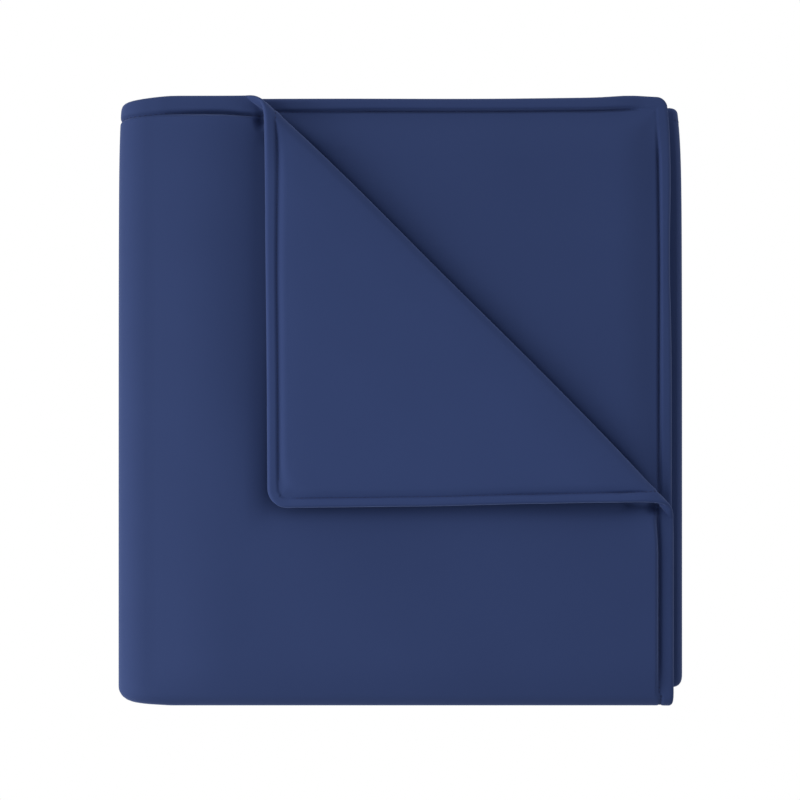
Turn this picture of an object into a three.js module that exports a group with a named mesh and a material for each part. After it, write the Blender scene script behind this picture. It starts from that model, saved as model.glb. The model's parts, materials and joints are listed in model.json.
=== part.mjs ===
// A cooling comforter, folded in half twice each way into sixteen layers, with the
// corner of its top layer turned back. Millimetres, +Z up, X across the folded stack
// from the spine (-X) to the open side (+X), Y along it from the bottom fold (-Y) to
// the open hems (+Y). The origin is under the middle of the stack, on the surface
// that it lies on.

import * as THREE from "three";

// The comforter laid flat

const FLAT_WIDTH = 2172;
const FLAT_LENGTH = 2366;
const LAYER_THICKNESS = 6.4;
const CORNER_RADIUS = { turnedBack: 19, plain: 9 };

// Thickness of the cloth by distance from its edge: a rounded lip, the soft hem, the
// row of stitches that holds it, and the filling that swells up behind the stitches.
// unsewn is the thickness where the stitches don't draw the cloth in.
const HEM_PROFILE = [
  { fromEdge: 0, thickness: 2.4, unsewn: 2.4 },
  { fromEdge: 1.5, thickness: 5.0, unsewn: 5.0 },
  { fromEdge: 5, thickness: 6.4, unsewn: 6.4 },
  { fromEdge: 9.5, thickness: 5.8, unsewn: 6.4 },
  { fromEdge: 12.5, thickness: 1.4, unsewn: 6.4 },
  { fromEdge: 15.5, thickness: 4.8, unsewn: 6.4 },
  { fromEdge: 20, thickness: 6.2, unsewn: 6.4 },
  { fromEdge: 34, thickness: LAYER_THICKNESS, unsewn: LAYER_THICKNESS },
];
const SEAM = 12.5;
const HEM_DEPTH = HEM_PROFILE[HEM_PROFILE.length - 1].fromEdge;
// The top hem is pulled wider where it goes over the spine. On the laid-back corner
// both hems are rolled a little under, which makes them narrower.
const WIDE_HEM = { by: 4.2, easesOver: 45 };
const CORNER_HEM = { topNarrowerBy: 1.8, sideNarrowerBy: 3.2 };
// On the faces that show, the hem stands up between its lip and the stitches, which
// sink in a little.
const HEM_CROWN = 2.5;
const SEAM_SINK = 1.3;
// The stitches are shallow on the laid-back corner and fade out on the roll at the open
// side, in the crease, and at the uncovered corner, which is soft for these lengths.
const SHALLOW_SEAM = 0.16;
const SOFT_CORNER = { across: { from: 22, over: 24 }, along: { from: 34, over: 26 } };

// The folding

const LAYER_GAP = 0.6;
const LAYER_PITCH = LAYER_THICKNESS + LAYER_GAP;
const LAYERS_IN_BUNDLE = 4;
const BUNDLE_PITCH = LAYERS_IN_BUNDLE * LAYER_PITCH;

// It is folded along its length first, which makes a bundle of four layers, and the
// bundle is then folded across. overhang is how far the second fold stands past the
// first free edge, and setback how far the last free edge stops short of it.
const ALONG_FOLD = { length: FLAT_LENGTH, pitch: LAYER_PITCH, overhang: -6, setback: 2 };
const ACROSS_FOLD = { length: FLAT_WIDTH, pitch: BUNDLE_PITCH, overhang: 21.6, setback: 2 };

// How far each run of the bundle has slipped towards +Y against the top one, at its
// open hems and at its bottom fold.
const RUN_SLIP = {
  top: { atHems: 0, atFold: 0 },
  bottom: { atHems: -3, atFold: 7.3 },
  third: { atHems: -3, atFold: 7.3 },
  second: { atHems: -1.5, atFold: 3 },
};

// The turned-back corner

const TURNBACK_LEG = 398.5;
const TURNBACK_STEPS = 6;
// The top layer carries nothing, so inside the fold its filling stands this much
// higher, and the cloth rolls round it. The stitched hem rolls tighter.
const TOP_PUFF = 2.8;
const TURNBACK_RADIUS = (LAYER_PITCH + 2 * TOP_PUFF) / 2;
const HEM_ROLL = { tighterBy: 1.2, from: 0.9 };
// The crease is drawn in towards its two ends, up to the hems.
const CREASE_PULL = { middle: 0.2, ends: 4.3, width: 40, fromHem: 24 };
// The hem is too thick to fold flat, so it draws back along itself just before the
// crease, over these lengths on either side.
const HEM_CREASE_PULL = { onTopHem: 10, onSideHem: 8, depth: 18, at: -3, before: 13, after: 8 };
// The laid-back corner has slid a little along the crease, towards the open side, more
// so at its tip, and its far end is tucked back up.
const CORNER_SLIDE = { across: 4.4, along: 6, whole: 0.7 };
const CORNER_TUCK = { by: 1.3, from: 150, over: 110 };
// It rests on the thick folded hems, so it stands off its own layer along both of them.
// Its hem stands up beside the crease, and hangs a little low farther on.
const CORNER_WEDGE = { height: 4, reach: 170, from: 10, fades: 270 };
const CORNER_PERCH = { height: 4, reach: 140, grows: 50 };
const CORNER_HEM_RAISE = { height: 2, at: 20, width: 16, reach: 9 };
const CORNER_HEM_DROOP = { depth: 0.8, reach: 22, grows: 30 };

// The settled shape

// How high the filling stands: on the open part of the top layer, on the laid-back
// corner and on the layer that it uncovers. Beside the corner the layer is pressed, and
// it rises again more slowly towards the open hems.
const OPEN_LOFT = { height: TOP_PUFF + 5, reachAcross: 7, widensBy: 0.085, reachAlong: 11 };
const CORNER_LOFT = { height: 3, reach: 45 };
const SECOND_LOFT = { height: 5, from: -4, reach: 9 };
const PRESSED = { depth: 3.5, inside: 6, under: 20 };
// How far behind the stitches the filling takes to swell up.
const SWELL_REACH = { plain: 5, second: 34, softCorner: 40 };
// The open part sags towards the spine and the bottom fold, over this reach, and meets
// the fold a little past its start.
const SAG = { spine: { past: 12, reach: 70 }, fold: { past: 7, reach: 40 } };
// Towards the open hems the free side leans in, and the hems on the spine tuck in and
// draw back. The table gives the share of each by distance from the hems.
const LEAN_STATIONS = [
  { fromHem: 0, lean: 1, droop: 1 },
  { fromHem: HEM_DEPTH, lean: 0.32, droop: 0.5 },
  { fromHem: 110, lean: 0, droop: 0 },
];
const OPEN_SIDE_LEAN = 6;
const SPINE_TUCK = 4.5;
const HEM_DROOP = { whole: 1, nearSpine: 3, onSpine: 4 };
const HEM_WAVE = { height: 1.8, at: 455, width: 22 };
// The spine and the roll at the open side are fuller than half circles: the powers of
// their rounded squares. The hems above the roll press a valley into it.
const SPINE_SQUARE = 3.4;
const ROLL_SQUARE = 2.8;
const ROLL_VALLEY = { depth: 0.25, at: 13.8, width: 6 };

// How finely each stretch is divided

const RUN_STEPS = { bottom: 2, third: 2, second: 2 };
const ACROSS_TURN_STEPS = { wide: 8, second: 8, inner: 8 };
const ALONG_TURN_STEPS = { wide: 6, second: 4, inner: 4 };
// Lines on the top run, by distance from its free edge.
const CORNER_LINES = [
  TURNBACK_LEG - PRESSED.inside - PRESSED.under,
  TURNBACK_LEG - PRESSED.inside,
  TURNBACK_LEG - PRESSED.inside + 2 * OPEN_LOFT.reachAlong,
];
const ACROSS_TOP_LINES = [50, 75, 140, 260, ...CORNER_LINES, 470];
const ALONG_TOP_LINES = [140, 260, ...CORNER_LINES, 552];
// Lines along the crease on the layer below it, as reaches of its swell.
const SECOND_LINES = [0, 1, 2.5];

const { PI, SQRT1_2 } = Math;

// One strip folded in half twice, seen from the side. The path starts at the free
// edge of the top run, and level is its height from the middle of the stack. The
// normal points out of the face that is uppermost on the top run.
function foldInHalfTwice({ length, pitch, overhang, setback }) {
  const wide = 1.5 * pitch;
  const tight = 0.5 * pitch;
  const tightReach = pitch - LAYER_GAP / 2;
  const turns = PI * (wide + 2 * tight);
  const top = (length + setback - turns - 2 * (overhang - tightReach)) / 4;
  const middle = top + overhang - tightReach;

  const straight = (name, from, heading, level, size) => ({
    name,
    size,
    at: (s) => ({ place: from + heading * s, level, across: 0, up: -heading }),
  });
  const turn = (name, centre, level, radius, side, bulge) => ({
    name,
    size: PI * radius,
    at: (s) => {
      const angle = s / radius;
      const rise = -side * Math.cos(angle);
      const out = bulge * Math.sin(angle);
      const facing = side * bulge;
      return {
        place: centre + radius * out,
        level: level + radius * rise,
        across: facing * out,
        up: facing * rise,
      };
    },
  });
  const spans = [
    straight("top", top, -1, wide, top),
    turn("wide", 0, 0, wide, -1, -1),
    straight("bottom", 0, 1, -wide, middle),
    turn("second", middle, -pitch, tight, 1, 1),
    straight("third", middle, -1, -tight, middle),
    turn("inner", 0, 0, tight, 1, -1),
    straight("second", 0, 1, tight, top - setback),
  ];
  let begin = 0;
  for (const span of spans) {
    span.begin = begin;
    begin += span.size;
  }

  const at = (distance) => {
    const span = spans.findLast(({ begin: start }) => distance >= start) ?? spans[0];
    return { span, ...span.at(distance - span.begin) };
  };
  const foldedSide = -(wide + tightReach - tight);
  const openSide = top + Math.max(0, overhang);
  return { at, spans, top, middle, foldedSide, openSide, length };
}

const along = foldInHalfTwice(ALONG_FOLD);
const across = foldInHalfTwice(ACROSS_FOLD);

// Straight-line reading of a table by one of its columns.
function readTable(table, key, value, at) {
  const next = table.findIndex((row) => row[key] >= at);
  if (next < 0) return table[table.length - 1][value];
  if (next === 0) return table[0][value];
  const [low, high] = [table[next - 1], table[next]];
  const share = (at - low[key]) / (high[key] - low[key]);
  return low[value] + share * (high[value] - low[value]);
}

const clamp = (t) => Math.min(1, Math.max(0, t));
const smoothStep = (t) => clamp(t) ** 2 * (3 - 2 * clamp(t));
const bump = (t) => Math.exp(-(t ** 2));

// The lines that divide the flat cloth in one direction: along both hems, on the top
// run as listed, at equal steps on the other runs and the turns, and where the stack
// leans in towards the open hems.
function divide(fold, turnSteps, topLines, leanLines) {
  const lines = new Set(topLines);
  for (const { fromEdge } of HEM_PROFILE) {
    lines.add(fromEdge);
    lines.add(fold.length - fromEdge);
  }
  fold.spans.forEach((span, i) => {
    const isTurn = i % 2 === 1;
    const steps = isTurn ? turnSteps[span.name] : (RUN_STEPS[span.name] ?? 0);
    const last = i === fold.spans.length - 1;
    const size = last ? span.size - HEM_DEPTH : span.size;
    for (let k = 1; k <= steps; k++) lines.add(span.begin + (size * k) / steps);
    if (isTurn) lines.add(span.begin);
    if (isTurn) return;
    for (const { fromHem } of leanLines) {
      const place = fold.top - fromHem;
      const fromStart = Math.abs(place - span.at(0).place);
      if (fromStart < span.size && fromHem > 0) lines.add(span.begin + fromStart);
    }
  });
  const closest = 1e-6;
  const sorted = [...lines].sort((a, b) => a - b);
  return sorted.filter((line, i) => i === 0 || line - sorted[i - 1] > closest);
}

// How far a flat point is past the crease, on the top layer and on the one below it.
const pastCrease = (u, v) => (TURNBACK_LEG - u - v) * SQRT1_2;
const pastCreaseBelow = (u, v) => pastCrease(u, FLAT_LENGTH - v);

// The flat cloth as cells, cut along the crease where the corner bends and where the
// layer below swells, so that both have straight edges of their own.
function cutCloth() {
  const us = divide(across, ACROSS_TURN_STEPS, ACROSS_TOP_LINES, []);
  const vs = divide(along, ALONG_TURN_STEPS, ALONG_TOP_LINES, LEAN_STATIONS);
  let cells = [];
  for (let i = 1; i < us.length; i++) {
    for (let j = 1; j < vs.length; j++) {
      const [u0, u1, v0, v1] = [us[i - 1], us[i], vs[j - 1], vs[j]];
      cells.push([[u0, v0], [u1, v0], [u1, v1], [u0, v1]]);
    }
  }
  const cutAt = (measure, line) => {
    cells = cells.flatMap((cell) => splitCell(cell, ([u, v]) => measure(u, v) - line));
  };
  for (let k = 0; k <= TURNBACK_STEPS; k++) {
    cutAt(pastCrease, PI * TURNBACK_RADIUS * (k / TURNBACK_STEPS - 0.5));
  }
  for (const reaches of SECOND_LINES) {
    cutAt(pastCreaseBelow, SECOND_LOFT.from + SECOND_LOFT.reach * reaches);
  }
  return cells;
}

// A convex cell cut in two where the measure changes sign.
function splitCell(cell, measure) {
  const onLine = 1e-6;
  const side = cell.map(measure);
  if (Math.min(...side) > -onLine || Math.max(...side) < onLine) return [cell];
  const [before, after] = [[], []];
  cell.forEach((corner, i) => {
    const next = (i + 1) % cell.length;
    if (side[i] < onLine) before.push(corner);
    if (side[i] > -onLine) after.push(corner);
    if (Math.abs(side[i]) < onLine || Math.abs(side[next]) < onLine) return;
    if (side[i] * side[next] > 0) return;
    const share = side[i] / (side[i] - side[next]);
    const crossing = corner.map((c, axis) => c + share * (cell[next][axis] - c));
    before.push(crossing);
    after.push(crossing);
  });
  return [before, after];
}

// A corner of the cloth is sewn round: squares about its centre become quarter rings.
function roundCorner(u, v) {
  const { turnedBack, plain } = CORNER_RADIUS;
  const radius = v < FLAT_LENGTH / 2 ? turnedBack : plain;
  const inU = radius - Math.min(u, FLAT_WIDTH - u);
  const inV = radius - Math.min(v, FLAT_LENGTH - v);
  if (inU <= 0 || inV <= 0) return [u, v];
  const shrink = 1 - Math.max(inU, inV) / Math.hypot(inU, inV);
  const moveU = inU * shrink * (u < FLAT_WIDTH / 2 ? 1 : -1);
  const moveV = inV * shrink * (v < FLAT_LENGTH / 2 ? 1 : -1);
  return [u + moveU, v + moveV];
}

// The top hem's width grows between the crease and the spine, and both hems are
// narrower on the laid-back corner.
function reshapeHem(u, v) {
  const { by, easesOver } = WIDE_HEM;
  const { topNarrowerBy, sideNarrowerBy } = CORNER_HEM;
  const share = (edge) => (edge < SEAM ? edge / SEAM : 1 - smoothStep((edge - SEAM) / easesOver));
  const fromCrease = smoothStep((u - TURNBACK_LEG + 14) / 18);
  const roundSpine = 1 - smoothStep((u - across.top - 100) / 80);
  const inTopLayer = u < across.top && v < along.top;
  const onCorner = inTopLayer ? smoothStep((pastCrease(u, v) - 4) / 24) : 0;
  const wider = by * fromCrease * roundSpine - topNarrowerBy * onCorner;
  return [u - sideNarrowerBy * onCorner * share(u), v + wider * share(v)];
}

// Where the flat point (u, v) lies in the folded stack, with the outward normal of
// the face that is uppermost on the top layer.
function foldStack(u, v) {
  const bundle = across.at(u);
  const layer = along.at(v);
  const out = new THREE.Vector3(bundle.across, 0, bundle.up);
  const point = new THREE.Vector3(bundle.place, layer.place, bundle.level);
  point.addScaledVector(out, layer.level);
  const normal = out.multiplyScalar(layer.up).setY(layer.across);
  const inTopRun = bundle.span === across.spans[0];
  const onTopLayer = inTopRun && layer.span === along.spans[0];
  const onSecondLayer = inTopRun && layer.span === along.spans[6];
  return { point, normal, onTopLayer, onSecondLayer };
}

// The bundle's slip along Y, carried over evenly through each turn.
function slipAt(u, y) {
  const { span } = across.at(u);
  const index = across.spans.indexOf(span);
  const isTurn = index % 2 === 1;
  const from = RUN_SLIP[across.spans[isTurn ? index - 1 : index].name];
  const to = RUN_SLIP[across.spans[isTurn ? index + 1 : index].name];
  const share = (u - span.begin) / span.size;
  const atHems = from.atHems + (to.atHems - from.atHems) * share;
  const atFold = from.atFold + (to.atFold - from.atFold) * share;
  return atHems + (atFold - atHems) * clamp((along.top - y) / along.top);
}

// How soft the uncovered corner is, from its tip inwards.
function softCorner(u, v) {
  const { across: side, along: end } = SOFT_CORNER;
  const fromSide = smoothStep((u - side.from) / side.over);
  const fromEnd = smoothStep((FLAT_LENGTH - v - end.from) / end.over);
  return 1 - Math.max(fromSide, fromEnd);
}

// How deep the stitches draw the cloth in, as a share of the full depth.
function seamDepth(u, v) {
  const [roll, afterRoll] = [across.spans[3].begin, across.spans[4].begin];
  const onRoll = smoothStep((u - roll + 20) / 20) * smoothStep((afterRoll + 20 - u) / 20);
  const past = pastCrease(u, v);
  const inTopLayer = u < across.top && v < along.top;
  const inCrease = inTopLayer ? bump((past - 6) / 9) : 0;
  const onFlap = inTopLayer ? smoothStep((past - 20) / 30) : 0;
  const shallow = 1 - (1 - SHALLOW_SEAM) * onFlap;
  return (1 - onRoll) * (1 - inCrease) * (1 - 0.9 * softCorner(u, v)) * shallow;
}

// How much of the hem's crown shows: on the top layer outside the crease, on the
// laid-back corner, and on the layer that it uncovers.
function openTopHem(u, v) {
  const fromCrease = smoothStep((-pastCrease(u, v) - 8) / 20);
  const toFold = smoothStep((along.top - v) / 30);
  return fromCrease * toFold * smoothStep((across.top + 40 - u) / 80);
}

const openCornerHem = (u, v) => smoothStep(pastCrease(u, v) / 24);
const openSecondHem = (u, v) => smoothStep((pastCreaseBelow(u, v) + 3) / 14);

function crownAt(u, v, edge) {
  const acrossHem = 2 * clamp(edge / SEAM) - 1;
  return HEM_CROWN * (1 - acrossHem ** 6) * (1 - softCorner(u, v));
}

// How far the filling has swelled up behind the stitches.
const behindSeam = (u, v, reach) => smoothStep((Math.min(u, v) - SEAM) / reach);

// How much higher the filling stands on the upper face of the top layer: puffed inside
// the fold, pressed beside the laid-back corner, and rising again away from it.
function topLoft(u, v) {
  const { height, reachAcross, widensBy, reachAlong } = OPEN_LOFT;
  const edge = TURNBACK_LEG - PRESSED.inside;
  const reach = reachAcross + widensBy * Math.max(0, TURNBACK_LEG - v);
  const clear = Math.hypot(Math.max(0, u - edge) / reach, Math.max(0, v - edge) / reachAlong);
  const covered = smoothStep((edge - Math.max(u, v)) / PRESSED.under);
  const open = 1 - Math.exp(-clear);
  const pressed = PRESSED.depth * (1 - covered) * (1 - open);
  const rise = TOP_PUFF * covered + height * open - pressed;
  const toSpine = clamp((across.top + SAG.spine.past - u) / SAG.spine.reach);
  const toFold = clamp((along.top + SAG.fold.past - v) / SAG.fold.reach);
  const sag = toSpine * (2 - toSpine) * toFold * (2 - toFold);
  return rise * behindSeam(u, v, SWELL_REACH.plain) * sag;
}

// How much higher it stands on the laid-back corner and on the layer below the crease.
function cornerLoft(u, v) {
  const { height, reach } = CORNER_LOFT;
  return height * smoothStep(pastCrease(u, v) / reach) * behindSeam(u, v, SWELL_REACH.plain);
}

function secondLoft(u, v) {
  const { height, from, reach } = SECOND_LOFT;
  const past = Math.max(0, pastCreaseBelow(u, v) - from);
  const { second, softCorner: soft } = SWELL_REACH;
  const swell = second + (soft - second) * softCorner(u, v);
  return height * (1 - Math.exp(-past / reach)) * behindSeam(u, FLAT_LENGTH - v, swell);
}

// How high the laid-back corner stands off its own layer, in the roll and past it.
function cornerLift(u, v, radius, angle) {
  const past = pastCrease(u, v);
  const { height: wedgeHeight, reach: wedgeReach, from, fades } = CORNER_WEDGE;
  const { height: perchHeight, reach: perchReach, grows } = CORNER_PERCH;
  const alongTop = wedgeHeight * (1 - smoothStep(v / wedgeReach));
  const wedge = alongTop * clamp(1 - (past - from) / fades);
  const perch = perchHeight * (1 - smoothStep(u / perchReach)) * smoothStep(past / grows);
  const { height, at, width, reach: raiseReach } = CORNER_HEM_RAISE;
  const raised = height * bump((past - at) / width) * (1 - behindSeam(u, v, raiseReach));
  const { depth, reach, grows: droopGrows } = CORNER_HEM_DROOP;
  const droop = depth * (1 - behindSeam(u, v, reach)) * smoothStep(past / droopGrows);
  return (radius + wedge / 2) * (1 - Math.cos(angle)) + perch + raised - droop;
}

// The top layer's corner, rolled over the crease and laid back on the layer.
function turnBack(u, v, folded) {
  const past = pastCrease(u, v);
  const fromMiddle = Math.min(1, Math.abs((v - u) / TURNBACK_LEG));
  const atHem = smoothStep((fromMiddle - HEM_ROLL.from) / (1 - HEM_ROLL.from));
  const radius = TURNBACK_RADIUS - HEM_ROLL.tighterBy * atHem;
  const halfBend = (PI * radius) / 2;
  const angle = Math.min(PI, Math.max(0, (past + halfBend) / radius));
  let rolled = radius * Math.sin(angle) - halfBend;
  if (past < -halfBend) rolled = past;
  if (past > halfBend) rolled = -past;
  const { middle, ends, width, fromHem } = CREASE_PULL;
  const soft = 1 - smoothStep((Math.abs(past) - halfBend) / width);
  const inside = smoothStep(Math.min(u, v) / fromHem);
  const drawnIn = (middle + ends * fromMiddle ** 4) * soft * inside;
  const slide = Math.max(0, past / TURNBACK_LEG);
  const laidOver = smoothStep(past / 25);
  const tuck = CORNER_TUCK.by * smoothStep((v - CORNER_TUCK.from) / CORNER_TUCK.over);
  const { onTopHem, onSideHem, depth, at, before, after } = HEM_CREASE_PULL;
  const atCrease = bump((past - at) / (past > at ? after : before));
  const pull = (size, edge) => size * atCrease * (1 - smoothStep(edge / depth));
  const over = (rolled - past - drawnIn) * SQRT1_2;
  const slideX = CORNER_SLIDE.across * slide + CORNER_SLIDE.whole * laidOver;
  const slideY = tuck * laidOver - CORNER_SLIDE.along * slide;
  const moveX = over + slideX - pull(onTopHem, v);
  const moveY = over + slideY - pull(onSideHem, u);
  const lift = cornerLift(u, v, radius, angle);
  const lean = -Math.sin(angle) * SQRT1_2;
  const point = folded.point.clone().add(new THREE.Vector3(moveX, moveY, lift));
  return { ...folded, point, normal: new THREE.Vector3(lean, lean, Math.cos(angle)) };
}

// How far a section is drawn out from a circle towards a square, seen from its middle.
function squared(sideways, height, power) {
  const far = Math.hypot(sideways, height);
  const ratios = Math.abs(sideways / far) ** power + Math.abs(height / far) ** power;
  return ratios ** (-1 / power);
}

// The stack leans in at its open side, its hems draw back on the spine, the spine and
// the roll at the open side are drawn out towards squares, and the roll has its valley.
function settle(point) {
  const beyond = point.x - across.middle;
  const above = point.z + BUNDLE_PITCH;
  const fromHem = Math.max(0, along.top - point.y);
  const lean = readTable(LEAN_STATIONS, "fromHem", "lean", fromHem);
  const droop = readTable(LEAN_STATIONS, "fromHem", "droop", fromHem);
  const openSide = smoothStep(point.x / across.top);
  const onSpine = clamp(point.x / across.foldedSide);
  const nearSpine = smoothStep((8 - point.x) / 50);
  const wave = HEM_WAVE.height * bump((point.x - HEM_WAVE.at) / HEM_WAVE.width);
  const { whole, nearSpine: near, onSpine: on } = HEM_DROOP;
  const back = whole * (1 - openSide) + near * nearSpine + on * onSpine ** 4;
  point.x += (SPINE_TUCK * onSpine ** 2 - OPEN_SIDE_LEAN * openSide) * lean;
  point.y += wave * openSide * lean - back * droop;
  if (point.x < 0) {
    const square = squared(point.x, point.z, SPINE_SQUARE);
    point.x *= square;
    point.z *= square;
  }
  if (beyond > 0 && point.z < -LAYER_GAP / 4) {
    const square = squared(beyond, above, ROLL_SQUARE);
    const { depth, at, width } = ROLL_VALLEY;
    const valley = above > 0 ? depth * bump((beyond * square - at) / width) : 0;
    point.x += beyond * (square - 1);
    point.z += above * (square * (1 - valley) - 1);
  }
  return point;
}

// The two faces of the cloth over the flat point (u, v).
function facesAt(u, v) {
  const edge = Math.min(u, v, FLAT_WIDTH - u, FLAT_LENGTH - v);
  const sewn = readTable(HEM_PROFILE, "fromEdge", "thickness", edge);
  const unsewn = readTable(HEM_PROFILE, "fromEdge", "unsewn", edge);
  const depth = seamDepth(u, v);
  const half = (unsewn + (sewn - unsewn) * depth) / 2;
  const crown = crownAt(u, v, edge);
  const sink = edge === SEAM ? SEAM_SINK * depth : 0;

  const [ru, rv] = roundCorner(...reshapeHem(u, v));
  const folded = foldStack(ru, rv);
  const { onTopLayer, onSecondLayer } = folded;
  const laid = onTopLayer ? turnBack(ru, rv, folded) : folded;
  laid.point.y += slipAt(ru, laid.point.y);
  const inSag = ru <= across.top + SAG.spine.past && rv <= along.top + SAG.fold.past;
  let puff = 0;
  let rise = 0;
  if (inSag) puff = topLoft(u, v) + crown * openTopHem(u, v);
  if (onTopLayer) {
    rise = cornerLoft(u, v) + crown * openCornerHem(u, v);
    laid.point.z -= sink * openTopHem(u, v);
  }
  if (onSecondLayer) {
    rise = secondLoft(u, v) + crown * openSecondHem(u, v);
    laid.point.z -= sink * openSecondHem(u, v);
  }
  const face = (offset, lift) => {
    const point = laid.point.clone().addScaledVector(laid.normal, offset);
    point.z += lift;
    return settle(point);
  };
  return { outer: face(half + puff, 0), inner: face(-half, rise) };
}

// One closed surface: the outer face, the inner face and the lip between them.
function comforterGeometry() {
  const points = [];
  const triangles = [];
  const cornerIndex = new Map();
  const edges = new Map();

  const indexOf = ([u, v]) => {
    const key = `${u.toFixed(5)} ${v.toFixed(5)}`;
    if (!cornerIndex.has(key)) {
      const { outer, inner } = facesAt(u, v);
      cornerIndex.set(key, points.length);
      points.push(outer, inner);
    }
    return cornerIndex.get(key);
  };
  const inner = (outer) => outer + 1;

  for (const cell of cutCloth()) {
    const ring = cell.map(indexOf);
    for (let k = 2; k < ring.length; k++) {
      const [a, b, c] = [ring[0], ring[k - 1], ring[k]];
      triangles.push(a, b, c, inner(c), inner(b), inner(a));
    }
    ring.forEach((from, k) => {
      const to = ring[(k + 1) % ring.length];
      if (!edges.delete(`${to} ${from}`)) edges.set(`${from} ${to}`, [from, to]);
    });
  }
  for (const [from, to] of edges.values()) {
    triangles.push(to, from, inner(from), to, inner(from), inner(to));
  }
  const geometry = new THREE.BufferGeometry().setFromPoints(points).setIndex(triangles);
  geometry.computeVertexNormals();
  return geometry;
}

const navyCloth = new THREE.MeshStandardMaterial({
  color: 0x323f68,
  roughness: 0.85,
  metalness: 0,
});

const comforter = new THREE.Mesh(comforterGeometry(), navyCloth);
comforter.name = "comforter";

// The stack's middle goes over the origin, and its lowest layer on Z = 0.
const stack = new THREE.Box3().setFromObject(comforter);
const middle = stack.getCenter(new THREE.Vector3());
comforter.position.set(-middle.x, -middle.y, -stack.min.z);

const foldedComforter = new THREE.Group();
foldedComforter.add(comforter);

export default foldedComforter;
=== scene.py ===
# %% [markdown]
# # A folded comforter
#
# The real one is a sheet of thin padded cloth with a hem all round. It is folded in half
# twice each way, and the corner of its top layer is turned back. A cloth simulation could
# fold it, but sixteen layers that touch are slow to settle. Folding by rule is quick and
# comes out the same each time. So this lesson cuts out a flat grid, carries each point to
# its place in the stack and joins the two faces at the lip.
#
# Everything is worked out in millimetres and handed to Blender in metres.

import json
import math

import bmesh
import bpy
import numpy as np
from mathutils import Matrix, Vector

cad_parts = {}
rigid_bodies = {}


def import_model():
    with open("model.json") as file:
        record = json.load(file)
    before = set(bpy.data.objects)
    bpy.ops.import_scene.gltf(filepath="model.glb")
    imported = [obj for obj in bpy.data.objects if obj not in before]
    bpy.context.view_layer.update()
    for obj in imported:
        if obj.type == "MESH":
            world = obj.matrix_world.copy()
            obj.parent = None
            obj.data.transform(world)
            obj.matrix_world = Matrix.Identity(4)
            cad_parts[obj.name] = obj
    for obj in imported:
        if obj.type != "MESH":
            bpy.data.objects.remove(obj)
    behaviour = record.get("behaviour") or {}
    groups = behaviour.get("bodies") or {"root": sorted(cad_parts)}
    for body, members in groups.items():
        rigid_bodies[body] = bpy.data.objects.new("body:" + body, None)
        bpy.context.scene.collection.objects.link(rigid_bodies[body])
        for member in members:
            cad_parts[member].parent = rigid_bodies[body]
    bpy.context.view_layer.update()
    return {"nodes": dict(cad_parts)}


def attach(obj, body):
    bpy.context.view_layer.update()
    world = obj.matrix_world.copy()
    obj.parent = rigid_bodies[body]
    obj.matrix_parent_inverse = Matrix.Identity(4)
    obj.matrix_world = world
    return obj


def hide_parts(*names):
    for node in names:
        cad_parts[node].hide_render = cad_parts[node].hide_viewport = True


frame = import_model()
MM = 0.001
print("CAD nodes:", list(frame["nodes"]))

# %% [markdown]
# ## Sizes
#
# The flat size is close to a full or queen comforter's. The thickness is that of the
# filling with its two cloth faces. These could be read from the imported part, but a folded
# box says little about the flat cloth, so they are repeated from the CAD source. Four
# layers make a bundle, and four runs of the bundle make the stack.

# %% Flat size and thickness
FLAT_WIDTH = 2172.0
FLAT_LENGTH = 2366.0
HALF_THICK = 3.2
GAP = 0.6
PITCH = 2 * HALF_THICK + GAP
BUNDLE = 4 * PITCH
print("pitch of the layers:", PITCH, "mm, of the bundles:", BUNDLE, "mm")

# %% [markdown]
# ## Soft changes
#
# Cloth has no sharp changes. Nearly every form below is a size in millimetres times a
# share that goes softly from 0 to 1. `ramp` does that between two places, and `bump` is 1
# at one place and fades on both sides of it. Curves drawn by hand could do the same, but
# two numbers in a named pair are easier to read and to change.


# %% Ramp and bump
def ramp(x, start, end):
    t = np.clip((x - start) / (end - start), 0.0, 1.0)
    return t * t * (3.0 - 2.0 * t)


def bump(x, centre, width):
    return np.exp(-(((x - centre) / width) ** 2))


print("a ramp a quarter of the way:", ramp(0.25, 0.0, 1.0))

# %% [markdown]
# ## One fold, seen from the side
#
# A strip that is folded in half twice is four straight runs joined by three half turns.
# The first turn is wide, because it goes round the last one. A curve object could be drawn
# to that shape. A formula is better here, because the cloth then keeps its true length.
# The first function finds how long each run is. The overhang is how far the second turn
# stands out past the free hems, and the setback is how far the last hem stays behind the
# first.

# %% Runs and turns
OVERHANG = {"along": -6.0, "across": 21.6}
SETBACK = 2.0


def fold_in_half_twice(length, pitch, overhang):
    wide, tight = 1.5 * pitch, 0.5 * pitch
    reach = pitch - GAP / 2
    turns = math.pi * (wide + 2 * tight)
    top = (length + SETBACK - turns - 2 * (overhang - reach)) / 4
    middle = top + overhang - reach
    wide_turn, tight_turn = math.pi * wide, math.pi * tight
    sizes = [top, wide_turn, middle, tight_turn, middle, tight_turn, top - SETBACK]
    return {
        "length": length,
        "pitch": pitch,
        "wide": wide,
        "tight": tight,
        "top": top,
        "middle": middle,
        "begins": np.concatenate([[0.0], np.cumsum(sizes)]),
        "folded_side": -(2 * pitch - GAP / 2),
    }


along = fold_in_half_twice(FLAT_LENGTH, PITCH, OVERHANG["along"])
across = fold_in_half_twice(FLAT_WIDTH, BUNDLE, OVERHANG["across"])
print("runs and turns along:", np.diff(along["begins"]).round(1))
print("runs and turns across:", np.diff(across["begins"]).round(1))

# %% [markdown]
# `walk` goes a given distance along the strip and says where that is: the place along the
# run, the height, and the two parts of the direction in which the upper face looks.


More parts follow.
